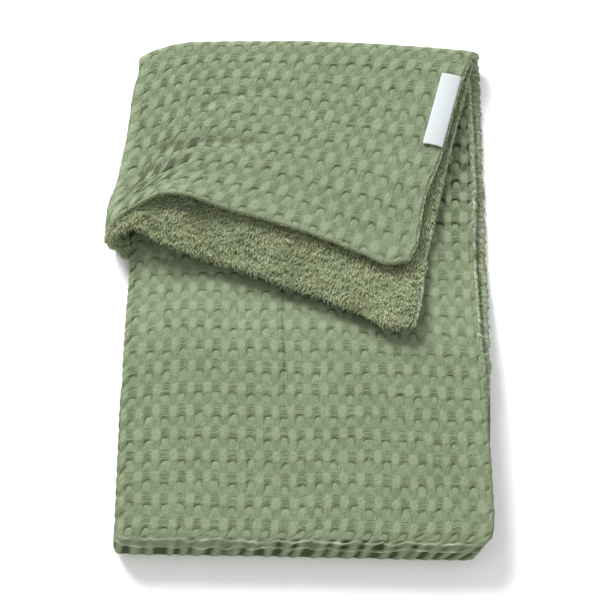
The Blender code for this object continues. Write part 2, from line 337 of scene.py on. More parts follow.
def lift(base):
    """How far the flap's outer ply stands off behind the arch of its hem."""
    far = (((base[..., 0] - LIFT_CENTRE[0]) / LIFT_SIZE[0]) ** 2
           + ((base[..., 1] - LIFT_CENTRE[1]) / LIFT_SIZE[1]) ** 2)
    return LIFT * (1.0 - smooth_step(np.sqrt(far)))


def risen_by(base, side, share):
    """How far the flap's plies move outward; the inner ply, which is raised, moves inward."""
    inner = HEM_RISE * (1.0 - smooth_step(share / HEM_RISE_LONG)) * ramp_up(side, 1.0, HEM_RISE_START)
    outer = OUTER_RISE * (1.0 - smooth_step(share / OUTER_RISE_LONG))
    outer = outer * smooth_step(-side / OUTER_RISE_START)
    return np.where(side <= 0.0, lift(base) + outer, -inner)


def cloth(section, side, share):
    """Centre surface and unit outward direction at places on the cloth, with the flap's rise."""
    side, share = np.broadcast_arrays(np.asarray(side, dtype=float), np.asarray(share, dtype=float))
    base = np.empty(side.shape + (3,))
    outward = np.empty(side.shape + (3,))
    places = ((side <= 0.0, "outer"), ((side > 0.0) & (side < 1.0), "turn"), (side >= 1.0, "inner"))
    for which, place in places:
        if not which.any():
            continue
        if place == "turn":
            base[which], outward[which] = turn_surface(section, side[which], share[which])
        else:
            across = -side[which] if place == "outer" else side[which] - 1.0
            base[which], outward[which] = ply_surface(place, section, across, share[which])
    if section == "flap":
        base = base + outward * risen_by(base, side, share)[..., None]
    return base, outward


def weave_place(section, side, share):
    """Place in the weave, in cells: across from the lengthwise fold, and along."""
    outer = np.clip(-side, 0.0, 1.0)
    turn = np.clip(side, 0.0, 1.0)
    inner = np.clip(side - 1.0, 0.0, 1.0)
    across = turn * ACROSS_CELLS["turn"] + inner * ACROSS_CELLS["inner"] - outer * ACROSS_CELLS["outer"]
    outside = (1.0 + np.cos(np.pi * turn)) / 2.0
    top_rows = TOP_ROWS * outside
    if section == "flap":
        rows = ROWS_BEFORE_BODY - top_rows - FLAP_ROWS * (1.0 - share)
    elif section == "top":
        rows = ROWS_BEFORE_BODY - top_rows * (1.0 - share)
    elif section == "body":
        rows = ROWS_BEFORE_BODY + BODY_ROWS * share
    elif section == "bottom":
        rows = ROWS_BEFORE_BODY + BODY_ROWS + FOLD_ROWS * share * (1.0 - outside)
    else:
        rows = ROWS_BEFORE_BODY + BODY_ROWS + FOLD_ROWS * (1.0 - outside) + TUCK_ROWS * share
    return across, rows


def cell_chance(row, column, salt):
    """A number from 0 to 1 for each cell, the same each time."""
    mixed = (row.astype(np.int64) * 73856093) ^ (column.astype(np.int64) * 19349663) ^ (salt * 83492791)
    mixed = (mixed ^ (mixed >> 13)) * 1274126177
    return ((mixed ^ (mixed >> 16)) & 0xFFFF) / 65535.0


def wander(x, y, salt, size):
    """Smooth random field from -1 to 1, one knot every size."""
    x, y = x / size, y / size
    column, row = np.floor(x), np.floor(y)
    a, b = smooth_step(x - column), smooth_step(y - row)
    low = cell_chance(row, column, salt) * (1 - a) + cell_chance(row, column + 1, salt) * a
    high = cell_chance(row + 1, column, salt) * (1 - a) + cell_chance(row + 1, column + 1, salt) * a
    return 2.0 * (low * (1 - b) + high * b) - 1.0


def wander_along(x, salt, size):
    """Smooth random values along one line."""
    return wander(x, x * 0.0, salt, size)


# Weave: places in cells, heights from 0 to 1.
MOUND_ROUND = 2.2
PATCH = (0.31, 0.33)  # half width and length of the light patch where the weave's lines cross
PATCH_VARIES = (1.0, 0.24)
PATCH_STRAY = 0.06
PATCH_SOFT = 0.95
PATCH_HIGH = (0.95, 0.14)  # height, and how much it varies
BRIDGE_HIGH = (0.64, 0.10)  # height, and the rise towards its ends
BRIDGE_HALF = 0.3
BRIDGE_RIM = (0.34, 0.14)
STRIP = (0.27, 0.42)
STRIP_SOFT = 0.30
STRIP_HIGH = (0.62, 0.20)
CRIMP = 0.075
DOME_BAND = (0.08, 0.05, 0.50, 0.16)
DOME_ROUND = 2.4
DOME_HALF = 0.26
DOME_LEVEL = 0.43
DOME_RISE = 0.23
DOME_STRAY = 0.14
DOME_VARIES = (1.0, 0.30)
DOME_RIM = (0.80, 0.30)
DOME_PAST = (1.18, 0.30)
DOME_BESIDE = 0.58
CROWN_HIGH = (0.80, 0.18)
CROWN_FALL = 0.12
CROWN_FAR = 1.5
PIT_SIDE = 0.55
PIT_START = (0.20, 0.40)


def mound(across, along_it, half_across, half_along, soft):
    """1 on a rounded patch, falling to 0 over its soft rim."""
    far = np.abs(across / half_across) ** MOUND_ROUND + np.abs(along_it / half_along) ** MOUND_ROUND
    far = far ** (1 / MOUND_ROUND)
    return 1.0 - smooth_step((far - 1.0) / soft + 0.5)


def bends(across, rows):
    """How far the weave's lines stray from straight, in cells."""
    return (0.07 * wander(across, rows, 1, 2.3) + 0.055 * wander(across, rows, 2, 0.8),
            0.08 * wander(across, rows, 3, 2.6) + 0.060 * wander(across, rows, 4, 0.7))


def dome(off, below, lane, row):
    """Height below a bridge of crosswise floats: a round-topped dome, lower over and beside it."""
    chance = [cell_chance(row, lane, salt) - 0.5 for salt in (7, 8, 10, 11)]
    off = np.abs(off - DOME_STRAY * chance[0]) / vary(*DOME_VARIES, chance[1])
    over = np.clip((DOME_LEVEL + DOME_STRAY * chance[2] - below) / DOME_RISE, 0.0, None)
    far = ((off / DOME_HALF) ** DOME_ROUND + over ** DOME_ROUND) ** (1 / DOME_ROUND)
    pit = PIT_SIDE * ramp_up(below, *PIT_START)
    crown = vary(*CROWN_HIGH, chance[3]) - CROWN_FALL * np.minimum(far, CROWN_FAR) ** 2
    inside = 1.0 - ramp_up(far, *DOME_RIM)
    return pit + (crown - pit) * inside + (DOME_BESIDE - pit) * ramp_up(far, *DOME_PAST)


def weave(across, rows, facing):
    """Height of the weave, up to 1. Facing is 1 where rows run towards the viewer, -1 where away."""
    stray = bends(across, rows)
    bent_across, bent_rows = across + stray[0], rows + stray[1]
    column, row = np.round(bent_across), np.round(bent_rows)
    chance = [cell_chance(row, column, salt) - 0.5 for salt in (5, 6, 12, 13)]
    long = PATCH[1] * vary(*PATCH_VARIES, chance[0])
    wide = PATCH[0] * vary(*PATCH_VARIES, chance[2])
    patch = mound(bent_across - column, bent_rows - row - PATCH_STRAY * chance[3], wide, long, PATCH_SOFT)
    patch = patch * vary(*PATCH_HIGH, chance[1])
    lane = np.floor(bent_across)
    down = bent_rows * facing
    bridge_row = np.floor(down)
    below = down - bridge_row
    off = bent_across - lane - 0.5
    bridge = vary(*BRIDGE_HIGH, np.minimum((off / BRIDGE_HALF) ** 2, 1.0))
    high = bridge + (dome(off, below, lane, bridge_row) - bridge) * band(below, *DOME_BAND)
    high = high * (1.0 - ramp_up(np.abs(off), *BRIDGE_RIM))
    strip_row = np.floor(bent_rows)
    strip = mound(bent_across - column, bent_rows - strip_row - 0.5, *STRIP, STRIP_SOFT)
    strip = strip * vary(*STRIP_HIGH, cell_chance(strip_row, column, 9) - 0.5)
    crimp = CRIMP * wander(across, rows, 14, 0.21) + CRIMP * wander(across, rows, 15, 0.11)
    return np.minimum(np.maximum(np.maximum(patch, high), strip) + crimp, 1.0)


# Bottom fold's front: shares of the fold, places across it in cells, heights as in the weave.
# The ridges' heights above 1 give them the cotton's painted highlight, and the pits' low heights give them
# its painted shade.
FOLD_BAND = (0.09, 0.05, 0.60, 0.12)
FOLD_RIDGES = (0.165, 0.292)
FOLD_RIDGE_HALF = 0.024
FOLD_RIDGE_HIGH = 1.22
FOLD_HIGH = 0.86
FOLD_STRAY = 0.033
FOLD_SLANT = 2.0
FOLD_SLANT_FROM = (18.0, 4.0)
FOLD_WALL = 1.8
FOLD_WAVER = 0.24
FOLD_LUMPS = 0.13
FINE_STRAY = 0.4  # of the ridges, beside their wide stray
PIT_DEPTH = (0.45, 0.65)  # shallowest pit, and how much deeper others are
PIT_UPPER = (0.50, 0.70)  # share of the depth between the ridges at the left, and more at right
PIT_UPPER_FROM = (7.0, 4.0)
PIT_LOWER = 1.60
RIDGE_PLAIN = (0.95, 0.45)  # how plainly a ridge shows, and how much that varies
RIDGE_LEAST = 0.6


def fold_weave(across, share):
    """Height over the bottom fold's front: the rows crowd into two thin ridges with pits between."""
    slant = FOLD_SLANT * (share - FOLD_RIDGES[0]) * ramp_up(across, *FOLD_SLANT_FROM)
    place = across + slant + FOLD_WAVER * wander(across, share * 1.2, 21, 0.8)
    lower = ramp_up(share, FOLD_RIDGES[1], 0.03)
    wall = np.abs(np.cos(np.pi * place)) ** FOLD_WALL
    chance = cell_chance(np.floor(place), lower.round(), 22)
    upper = vary(*PIT_UPPER, ramp_up(across, *PIT_UPPER_FROM))
    depth = vary(*PIT_DEPTH, chance) * (upper + (PIT_LOWER - upper) * lower)
    height = FOLD_HIGH - depth * (1.0 - wall) + FOLD_LUMPS * wander(across, share * 14.0, 26, 0.28)
    for number, middle in enumerate(FOLD_RIDGES):
        middle = middle + FOLD_STRAY * wander_along(across, 23 + number, 0.75)
        middle = middle + FINE_STRAY * FOLD_STRAY * wander_along(across, 28 + number, 0.28)
        plain = vary(*RIDGE_PLAIN, wander_along(across, 31 + number, 0.9))
        ridge = np.clip(plain, RIDGE_LEAST, 1.0) * np.exp(-((share - middle) / FOLD_RIDGE_HALF) ** 2)
        high = FOLD_RIDGE_HIGH + 0.26 * wander_along(across, 27 + number, 0.5)
        height = height + (high - height) * ridge
    return height


# Hems: widths in metres, heights as in the weave.
HEM_ROUND = 0.0034
HEM_FLAT = 0.0026
END_WEAVE = 0.0022
SIDE_SEAM = 0.0050
SEAM_HALF = 0.0008
SEAM_DEPTH = 0.6
SEAM_STITCHES = (0.25, 0.9)
SEAM_FLAP = 0.35
SEAM_FADE = (0.6, 0.3)
HEM_HIGH = (0.66, 0.22)
HEM_CALM = 0.25
FLAP_REACH = 0.22
TUCK_REACH = 0.14


def hem_distances(section, side, share):
    """Rough distances along the cloth to its side hem and its end hem, in metres."""
    to_side = np.maximum(np.where(side > 0.5, 2.0 - side, 1.0 + side) * PLY_WIDE, 0.0)
    to_end = np.full(np.shape(to_side), 1.0)
    if section == "flap":
        to_end = np.maximum(share * FLAP_REACH + 0.0 * to_side, 0.0)
    if section == "under":
        to_end = np.maximum((1.0 - share) * TUCK_REACH + 0.0 * to_side, 0.0)
    return to_side, to_end


def hem_distance(section, side, share):
    return np.minimum(*hem_distances(section, side, share))


def hem_rounding(near):
    """Thickness near a hem, from 0 at its edge up to 1, round as a quarter circle."""
    rim = np.clip(near / HEM_ROUND, 0.0, 1.0)
    return np.sqrt(1.0 - (1.0 - rim) ** 2)


def hem_height(height, section, side, share, across, rows):
    """The weave's height, pressed flat into a narrow puckered hem, with a stitched groove beside it."""
    to_side, to_end = hem_distances(section, side, share)
    pucker = wander(across + 1.3 * rows, rows - across, 41, 0.31)
    calm = 1.0 - smooth_step(np.minimum(to_side, to_end + END_WEAVE) / HEM_FLAT - HEM_CALM)
    height = height * (1.0 - calm) + vary(*HEM_HIGH, pucker) * calm
    stitched = np.clip(vary(*SEAM_STITCHES, wander(across, rows, 44, 0.4)), 0.0, 1.0)
    stitched = stitched * seam_share(section, share)
    return height * (1.0 - SEAM_DEPTH * stitched * np.exp(-((to_side - SIDE_SEAM) / SEAM_HALF) ** 2))


def seam_share(section, share):
    """How plainly the side seam shows: it fades towards the bottom fold."""
    if section in ("flap", "top"):
        return SEAM_FLAP
    if section == "body":
        return 1.0 - ramp_up(share, *SEAM_FADE)
    return 0.0


FLAP_WIDE = 0.335
FLAP_LONG = 0.222
CREASES = (
    # depth, half width, points as shares across and along the flap
    (0.0034, 0.0075, ((0.135, 0.405), (0.215, 0.350), (0.290, 0.375), (0.420, 0.385))),
    (0.0030, 0.0080, ((0.085, 0.300), (0.160, 0.240), (0.235, 0.255))),
    (0.0016, 0.0070, ((0.220, 0.600), (0.330, 0.680), (0.420, 0.730))),
)


def crease(section, side, share):
    """Depth of the soft troughs in the flap's outer ply."""
    depth = np.zeros(np.broadcast(side, share).shape)
    if section != "flap":
        return depth
    place = np.stack(np.broadcast_arrays(-side * FLAP_WIDE, share * FLAP_LONG), axis=-1)
    for low, wide, points in CREASES:
        points = np.array(points) * (FLAP_WIDE, FLAP_LONG)
        best = np.full(depth.shape, 1.0)
        for start, end in zip(points[:-1], points[1:]):
            way = end - start
            share_on = np.clip(((place - start) @ way) / (way @ way), 0.0, 1.0)
            best = np.minimum(best, np.linalg.norm(place - start - share_on[..., None] * way, axis=-1))
        depth = depth + low * np.exp(-(best / wide) ** 2)
    return np.where(side < 0.0, depth, 0.0)


# Slits between the rows and pressed places; depths in the weave's heights, the rest in sides and shares.
ROW_PITCH = 0.0236
SLIT_SLANT = 0.55
SLIT_SHARP = 2.2
SLIT_BETWEEN = 0.6  # depth of the slits halfway between the main ones
SLIT_TURN = (0.55, 0.60)  # middle and half width round the lengthwise fold
SLIT_INNER = (0.75, 5.0)  # how far faded at the inner ply, and millimetres of further fading
SLIT_VARIES = (0.75, 0.45)
SLIT_PATCHES = 1.3
BODY_SLITS = 1.35
BODY_SLIT_ENDS = (0.0, 0.03, 0.96, 0.03)
UNDER_SLITS = 1.6
UNDER_SLIT_START = 0.10
UNDER_TURN = (-0.03, 0.12, 0.99, 0.03)
UNDER_LEVEL = 0.75
# The deeper cells beside the flap are also painted darker there, as painted shade.
BESIDE_DEPTH = 1.1  # beside the flap the weave lies less pressed, with deeper cells
BESIDE_SIDE = (1.76, 0.05)
BESIDE_SHARE = (0.30, 0.12)
BESIDE_BELOW = 0.9
PRESS_SIDE = 1.437  # a faint line, pressed in when the cloth lay folded
PRESS_SHARES = (0.46, 0.05, 0.70, 0.10)
PRESS_STRAY = 0.0035
PRESS_DEPTH = 0.34
PRESS_HALF_MM = 1.1
EDGE_RIPPLE = 0.0022
RIPPLE_FADE_MM = 7.0
SWELL = 0.0004
SWELL_START = 0.03


def fold_slits(side, rows):
    """Slits between the rows round the lengthwise fold, ending just inside it."""
    phase = rows + SLIT_SLANT * side
    slit = (1.0 - np.abs(np.sin(np.pi * phase))) ** SLIT_SHARP
    slit = slit + SLIT_BETWEEN * (1.0 - np.abs(np.cos(np.pi * phase))) ** SLIT_SHARP
    inside = SLIT_INNER[0] + (side - 1.0) * PLY_MM / SLIT_INNER[1]
    turn = np.where(side < 1.0, np.abs(side - SLIT_TURN[0]) / SLIT_TURN[1], inside)
    uneven = vary(*SLIT_VARIES, wander_along(rows, 46, SLIT_PATCHES))
    return slit * uneven * np.exp(-turn ** 2)


def body_relief(height, side, share, rows):
    """The weave's height on the body, with what was pressed into it and the slits at its fold."""
    beside = ramp_up(side, *BESIDE_SIDE) * (1.0 - ramp_up(share, *BESIDE_SHARE))
    height = height - BESIDE_DEPTH * beside * np.clip(BESIDE_BELOW - height, 0.0, 1.0)
    off_line = (side - PRESS_SIDE - PRESS_STRAY * wander_along(rows, 45, 1.1)) * PLY_MM
    height = height - PRESS_DEPTH * band(share, *PRESS_SHARES) * np.exp(-(off_line / PRESS_HALF_MM) ** 2)
    return height - BODY_SLITS * band(share, *BODY_SLIT_ENDS) * fold_slits(side, rows)


def bottom_relief(height, side, share, across):
    """The weave's height over the bottom fold."""
    folded = band(share, *FOLD_BAND) * np.where(side > 0.5, 1.0, 0.0)
    return height + (fold_weave(across, share) - height) * folded


def under_relief(height, side, share, y):
    """The weave's height on the tucked end, smooth round the lengthwise fold but for its slits."""
    ends = ramp_up(share, 0.0, UNDER_SLIT_START)
    height = height + (UNDER_LEVEL - height) * band(side, *UNDER_TURN) * ends
    return height - UNDER_SLITS * ends * fold_slits(side, y / ROW_PITCH)


def waffle_face(section, side, share):
    """The waffle face, the weave's height there and the outward direction."""
    across, rows = weave_place(section, side, share)
    facing = np.where(side > 0.5, 1.0, -1.0)
    edge = np.exp(-np.minimum(2.0 - side, 1.0 + side) * PLY_MM / RIPPLE_FADE_MM)
    ripple = EDGE_RIPPLE * wander(across + rows * 2.0, rows, 42, 0.45) * edge * facing
    base, outward = cloth(section, side + ripple, share)
    height = weave(across, rows, facing)
    if section == "body":
        height = body_relief(height, side, share, rows)
    elif section == "bottom":
        height = bottom_relief(height, side, share, across)
    elif section == "under":
        height = under_relief(height, side, share, base[..., 1])
    height = hem_height(height, section, side, share, across, rows)
    near = hem_distance(section, side, share)
    swell = SWELL * wander(across, rows, 43, 3.2) * np.clip(near / SWELL_START, 0.0, 1.0)
    reach = SEAM + (FLOOR + RELIEF * height + swell) * hem_rounding(near) - crease(section, side, share)
    return above_floor(base + outward * reach[..., None]), height, outward


def waffle_points(section, side, share):
    """The waffle face with its normals, worked out from small steps either way."""
    side, share = np.broadcast_arrays(np.asarray(side, dtype=float), np.asarray(share, dtype=float))
    point, height, _ = waffle_face(section, side, share)
    right, ahead = steps_along(waffle_face, section, side, share, FACE_STEP)
    return point, height, unit(np.cross(ahead, right))


def line(start, end, steps):
    """Evenly spaced values with both ends."""
    return np.linspace(start, end, int(steps) + 1)


def joined(*parts):
    """One rising list of values from parts whose ends meet."""
    return np.concatenate([parts[0]] + [part[1:] for part in parts[1:]])


def columns(outer_steps, turn_steps, inner_steps):
    """Sides of the grid's columns, with a number of steps for each cell on the plies."""
    return joined(line(-1.0, 0.0, outer_steps * ACROSS_CELLS["outer"]), line(0.0, 1.0, turn_steps),
                  line(1.0, 2.0, inner_steps * ACROSS_CELLS["inner"]))


def grid_faces(rows, wide, first):
    """Quads of a grid of points."""
    corner = (first + np.arange(rows - 1)[:, None] * wide + np.arange(wide - 1)).ravel()
    return np.stack([corner + wide, corner + wide + 1, corner + 1, corner], axis=1)


def ring_faces(rings, around):
    """Quads between closed rings of points that follow each other."""
    first = np.arange(rings - 1)[:, None] * around
    corner, following = first + np.arange(around), first + (np.arange(around) + 1) % around
    return np.stack([corner, following, following + around, corner + around], axis=-1).reshape(-1, 4)


def seam_faces(first_a, sides_a, first_b, sides_b):
    """Triangles between two rows of points with the same ends and different steps."""
    faces = []
    a = b = 0
    next_a, next_b = np.append(sides_a[1:], np.inf), np.append(sides_b[1:], np.inf)
    while a < len(sides_a) - 1 or b < len(sides_b) - 1:
        if next_a[a] <= next_b[b]:
            faces.append((first_a + a, first_a + a + 1, first_b + b))
            a += 1
        else:
            faces.append((first_a + a, first_b + b + 1, first_b + b))
            b += 1
    return np.array(faces)


def with_area(points, triangles):
    """The triangles that aren't flattened to a line."""
    first, second, third = [points[triangles[:, corner]] for corner in range(3)]
    areas = np.linalg.norm(np.cross(second - first, third - first), axis=1)
    return triangles[areas > SMALLEST_AREA]


def strip_grids(surface, stretches):
    """Points, heights, normals and faces of grids that follow each other, stitched together.

    Each stretch is a list of (section, shares) and the sides of its columns.
    """
    found, quads, stitches = [], [], []
    count = 0
    last_sides = None
    for places, sides in stretches:
        if last_sides is not None:
            stitches.append(seam_faces(count - len(last_sides), last_sides, count, sides))
            places = [last_place] + places
        rows = 0
        for section, shares in places:
            grid = surface(section, sides[None, :], shares[:, None])
            found.append([part.reshape((-1,) + part.shape[2:]) for part in grid])
            rows += len(shares)
            last_place = (section, shares[-1:])
        quads.append(grid_faces(rows, len(sides), count))
        count += rows * len(sides)
        last_sides = sides
    points, heights, normals = [np.concatenate(part) for part in zip(*found)]
    faces = [np.concatenate(quads)]
    if stitches:
        faces.append(with_area(points, np.concatenate(stitches)))
    return points, heights, normals, faces


def merged(parts):
    """Points, faces and values of one mesh, from parts that each number their own points."""
    points, faces, values = zip(*parts)
    firsts = np.cumsum([0] + [len(part) for part in points[:-1]])
    kinds = [np.concatenate([part + first for part, first in zip(kind, firsts)]) for kind in zip(*faces)]
    fields = {name: np.concatenate([part[name] for part in values]) for name in values[0]}
    return np.concatenate(points), kinds, fields


def placed(name, data):
    """A new object with this data, in the scene."""
    made = bpy.data.objects.new(name, data)
    bpy.context.collection.objects.link(made)
    return made


def mesh_piece(name, points, faces, values, finish, normals=None):
    """A mesh object from arrays, with float attributes on its points."""
    mesh = bpy.data.meshes.new(name)
    polygons = [polygon for kind in faces for polygon in kind.tolist()]
    mesh.from_pydata((points - PLAN_MIDDLE).tolist(), [], polygons)
    for field, numbers in values.items():
        mesh.attributes.new(field, "FLOAT", "POINT").data.foreach_set("value", numbers.astype(np.float32))
    mesh.shade_smooth()
    if normals is not None:
        mesh.normals_split_custom_set_from_vertices(normals.tolist())
    mesh.materials.append(finish)
    return placed(name, mesh)


# Colours; noise scales are per metre.
SPECULAR = 0.15
# Painted shade and highlight: the lower the weave lies, in cell floors, pits, slits and seams, the darker
# its painted colour; the top stop is a painted highlight for the tallest ridges.
COTTON_PAINTED_SHADE_HIGHLIGHT = (
    # height of the weave, as a share of the tallest ridge, and its colour
    (0.0, (0.052, 0.074, 0.033)),
    (0.12, (0.108, 0.138, 0.074)),
    (0.26, (0.144, 0.181, 0.102)),
    (0.46, (0.182, 0.223, 0.133)),
    (0.80, (0.240, 0.289, 0.184)),
    (1.0, (0.400, 0.455, 0.330)),
)
TALLEST = 1.25
COTTON_MOTTLES = (
    # scale, detail, tints
    (26.0, 2.0, ((0.3, (0.93,) * 3), (0.7, (1.0,) * 3))),
    (480.0, 4.0, ((0.3, (0.82,) * 3), (0.70, (1.06,) * 3))),
)
COTTON_CRIMP = (620.0, 4.0)
PILE_TONES = ((0.0, (0.20, 0.238, 0.145)), (0.45, (0.31, 0.352, 0.222)), (1.0, (0.415, 0.45, 0.315)))
# Painted shade and light along each lock: darker at its root, lighter at its tip.
PILE_ROOT_SHADE_TIP_LIGHT = ((0.0, (0.56,) * 3), (0.35, (0.90,) * 3), (1.0, (1.05,) * 3))
PILE_MOTTLE = (30.0, 2.0)
PILE_TINTS = ((0.38, (0.96, 1.0, 0.93)), (0.60, (1.035, 1.0, 0.90)))
PILE_FUZZ = (1500.0, 2.0)
LABEL_TONES = ((0.0, (0.445, 0.478, 0.488)), (1.0, (0.525, 0.563, 0.568)))
LABEL_MOTTLE = (2400.0, 2.0)
LABEL_RIBS = 900.0


def principled(name, roughness):
    finish = bpy.data.materials.new(name)
    finish.use_nodes = True
    shader = finish.node_tree.nodes["Principled BSDF"]
    shader.inputs["Roughness"].default_value = roughness
    shader.inputs["Specular IOR Level"].default_value = SPECULAR
    return finish, finish.node_tree, shader


def add_node(tree, kind, values=None, links=None):
    """A new shader node with some inputs set to values and others linked to outputs."""
    node = tree.nodes.new("ShaderNode" + kind)
    for name, value in (values or {}).items():
        node.inputs[name].default_value = value
    for name, output in (links or {}).items():
        tree.links.new(output, node.inputs[name])
    return node


def ramp(tree, fac, stops):
    """Colours for the values of fac."""
    node = add_node(tree, "ValToRGB", links={"Fac": fac})
    while len(node.color_ramp.elements) < len(stops):
        node.color_ramp.elements.new(0.5)
    for element, (place, colour) in zip(node.color_ramp.elements, stops):
        element.position = place
        element.color = (*colour, 1.0)
    return node.outputs["Color"]


def noise(tree, scale, detail):
    """Noise in the object's own metres."""
    where = add_node(tree, "TexCoord").outputs["Object"]
    return add_node(tree, "TexNoise", {"Scale": scale, "Detail": detail}, {"Vector": where}).outputs["Fac"]


def attribute(tree, name):
    node = add_node(tree, "Attribute")
    node.attribute_name = name
    return node.outputs["Fac"]


def times(tree, colour, fac, stops):
    """The colour multiplied by a ramp of greys or tints."""
    mix = add_node(tree, "Mix", {"Factor": 1.0})
    mix.data_type = "RGBA"
    mix.blend_type = "MULTIPLY"
    tree.links.new(colour, mix.inputs[6])
    tree.links.new(ramp(tree, fac, stops), mix.inputs[7])
    return mix.outputs[2]


def set_surface(tree, shader, colour, height, strength, distance):
    """Gives the shader its colour and a bumpy surface."""
    bump = add_node(tree, "Bump", {"Strength": strength, "Distance": distance}, {"Height": height})
    tree.links.new(colour, shader.inputs["Base Color"])
    tree.links.new(bump.outputs["Normal"], shader.inputs["Normal"])


def cotton():
    """Washed cotton: painted shade in the cells' floors and a painted highlight on the tallest ridges,
    mottled, with a fine crimped surface.
    """
    finish, tree, shader = principled("waffle_cotton", 0.95)
    colour = ramp(tree, attribute(tree, "weave"), COTTON_PAINTED_SHADE_HIGHLIGHT)
    for scale, detail, tints in COTTON_MOTTLES:
        colour = times(tree, colour, noise(tree, scale, detail), tints)
    set_surface(tree, shader, colour, noise(tree, *COTTON_CRIMP), 0.7, 0.0010)
    return finish


def teddy_finish():
    """Pile with painted shade at its roots and painted light at its tips, green with warm beige in places.
    """
    finish, tree, shader = principled("teddy_pile", 0.9)
    colour = ramp(tree, attribute(tree, "tone"), PILE_TONES)
    colour = times(tree, colour, attribute(tree, "tip"), PILE_ROOT_SHADE_TIP_LIGHT)
    colour = times(tree, colour, noise(tree, *PILE_MOTTLE), PILE_TINTS)
    set_surface(tree, shader, colour, noise(tree, *PILE_FUZZ), 0.5, 0.0004)
    return finish


def label_finish():
    """A smooth white tape with fine woven ribs."""
    finish, tree, shader = principled("label_white", 0.75)
    colour = ramp(tree, noise(tree, *LABEL_MOTTLE), LABEL_TONES)
    ribs = add_node(tree, "TexWave", {"Scale": LABEL_RIBS}).outputs["Fac"]
    set_surface(tree, shader, colour, ribs, 0.2, 0.0002)
    return finish


# Grids of the two cloths: steps for each cell, or over a whole section.
FACE_STEP = 0.0012  # in side and share, for the normals
SMALLEST_AREA = 1e-12  # of a stitching triangle, in square metres
SHOWN_CELLS = 4.4  # cells of the body's inner ply that show beside the flap
SEEN_FROM = 0.36  # share of the body from which all of it shows
TOP_PLY_STEPS = 17
SHOWN_STEPS = 14
TUCKED_STEPS = 7
FLAP_BACK_STEPS = 4
HIDDEN_STEPS = 3
TURN_STEPS = 14
FLAP_ROW_STEPS = 15
BODY_ROW_STEPS = 13
TOP_STEPS = 28
BOTTOM_STEPS = 64
UNDER_STEPS = 42
PILE_COLUMNS = (3, 12, 4)
PILE_STEPS = {"flap": 60, "top": 12, "body": 60, "bottom": 12, "under": 20}
PILE_TONE = 0.35


def beside_columns():
    """Columns of the body's upper part, fine only where it shows beside the flap."""
    shown = 1.0 - SHOWN_CELLS / ACROSS_CELLS["inner"]
    return joined(line(-1.0, 0.0, HIDDEN_STEPS * ACROSS_CELLS["outer"]), line(0.0, 1.0, TURN_STEPS),
                  line(1.0, 1.0 + shown, HIDDEN_STEPS * (ACROSS_CELLS["inner"] - SHOWN_CELLS)),
                  line(1.0 + shown, 2.0, SHOWN_STEPS * SHOWN_CELLS))


def make_waffle(finish):
    """The waffle face in three lengths."""
    shown = columns(HIDDEN_STEPS, TURN_STEPS, SHOWN_STEPS)
    upper = line(0.0, SEEN_FROM, BODY_ROWS * SEEN_FROM * BODY_ROW_STEPS)
    lower = line(SEEN_FROM, 1.0, BODY_ROWS * (1 - SEEN_FROM) * BODY_ROW_STEPS)[1:]
    flap = [("flap", line(0.0, 1.0, FLAP_ROWS * FLAP_ROW_STEPS)[:-1]), ("top", line(0.0, 1.0, TOP_STEPS))]
    lengths = {
        "waffle_flap": [(flap, columns(TOP_PLY_STEPS, TURN_STEPS, FLAP_BACK_STEPS))],
        "waffle_body": [([("body", upper)], beside_columns()), ([("body", lower)], shown)],
        "waffle_tuck": [([("bottom", line(0.0, 1.0, BOTTOM_STEPS))], shown),
                        ([("under", line(0.0, 1.0, UNDER_STEPS)[1:])],
                         columns(HIDDEN_STEPS, TURN_STEPS, TUCKED_STEPS))],
    }
    pieces = []
    for name, stretches in lengths.items():
        points, height, normals, faces = strip_grids(waffle_points, stretches)
        pieces.append(mesh_piece(name, points, faces, {"weave": height / TALLEST}, finish, normals))
    return pieces


def teddy_points(section, side, share):
    """The pile's dense base, its lumps from 0 to 1 and the direction out of it."""
    base, outward = cloth(section, side, share)
    near = hem_distance(section, side, share)
    lumps = 0.5 + 0.5 * wander(side * PILE_LUMPS, share * PILE_LUMPS, 31, 1.0)
    reach = SEAM - GAP - (TEDDY * 0.50 + PILE_LUMP * lumps) * hem_rounding(near)
    return above_floor(base + outward * reach[..., None]), lumps, -outward


def make_teddy(finish):
    places = [(section, line(0.0, 1.0, steps)[:-1]) for section, steps in PILE_STEPS.items()]
    places[-1] = ("under", line(0.0, 1.0, PILE_STEPS["under"]))
    points, _, _, faces = strip_grids(teddy_points, [(places, columns(*PILE_COLUMNS))])
    # With tip at 0 the base takes the locks' root colour, painted shade included.
    values = {"tone": np.full(len(points), PILE_TONE), "tip": np.zeros(len(points))}
    return mesh_piece("teddy_base", points, faces, values, finish)


# Yarn floats, in cells of the weave, with their rises and radius in metres.
FLOAT_REACH = (-1.0, -0.6, 0.0, 0.6, 1.0)
FLOAT_RISE = (-0.0006, -0.00008, 0.00003, -0.00008, -0.0006)
FLOAT_RADIUS = 0.00043
FLOAT_LOWEST = 0.0006
FLOAT_HEIGHT = 0.70  # of the weave, for its colour
FLOATS_KEPT = 0.86
BRIDGE_FLOATS = (-0.225, -0.14, -0.055, 0.03, 0.105)
BRIDGE_REACH = 0.36
BRIDGE_BOW = 0.09
STRIP_FLOATS = (-0.18, -0.06, 0.06, 0.18)
STRIP_REACH = 0.24
FLOAT_KINDS = ((60, BRIDGE_FLOATS, 0.035), (80, STRIP_FLOATS, 0.03))  # salt, places in a cell, stray
FLOAT_ROWS = {"flap": (0.0, 11), "top": (9.0, 13), "body": (11.0, 37), "bottom": (34.0, 38)}
FLOAT_PIECES = (("yarn_flap", ("flap", "top"), "outer"), ("yarn_body", ("body", "bottom"), "inner"))


